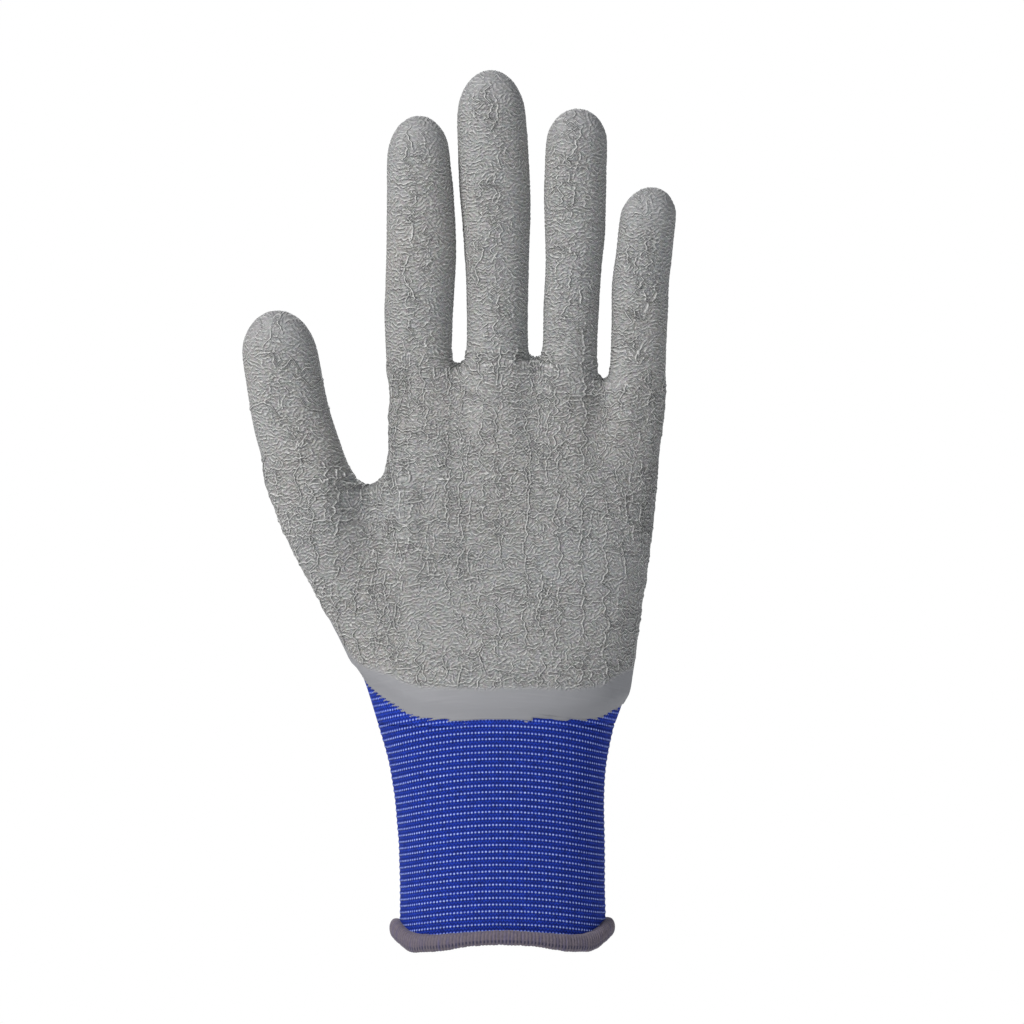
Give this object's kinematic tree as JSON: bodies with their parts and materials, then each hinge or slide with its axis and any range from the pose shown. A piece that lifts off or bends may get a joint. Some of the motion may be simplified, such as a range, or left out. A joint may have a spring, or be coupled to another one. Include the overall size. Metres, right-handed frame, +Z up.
{
  "type": "latex coated grip glove",
  "caption": "Knitted left-hand work glove with a crinkled latex palm dip, an elastic knit cuff and an overlocked hem, in the form a hand gives it.",
  "frame": {"origin": "middle of the cuff's mouth, level with the lowest point of the hem", "axes": "+Z up the fingers, +X from the thumb to the little finger, -Y out of the palm"},
  "size_m": [0.1227, 0.0484, 0.2498],
  "materials": {
    "liner_knit": "fine plain polyester knit, royal blue",
    "cuff_knit": "elastic rib knit, royal blue with pale dotted courses",
    "overlock_thread": "overlocked warm grey thread, rolled edge",
    "latex": "crinkled grey latex dip with a soft sheen"
  },
  "bodies": {
    "root": {"thumb_stall": "liner_knit", "index_stall": "liner_knit", "middle_stall": "liner_knit", "ring_stall": "liner_knit", "little_stall": "liner_knit", "palm_liner": "liner_knit", "cuff": "cuff_knit", "cuff_hem": "overlock_thread", "latex_coat": "latex"}
  },
  "joints": []
}
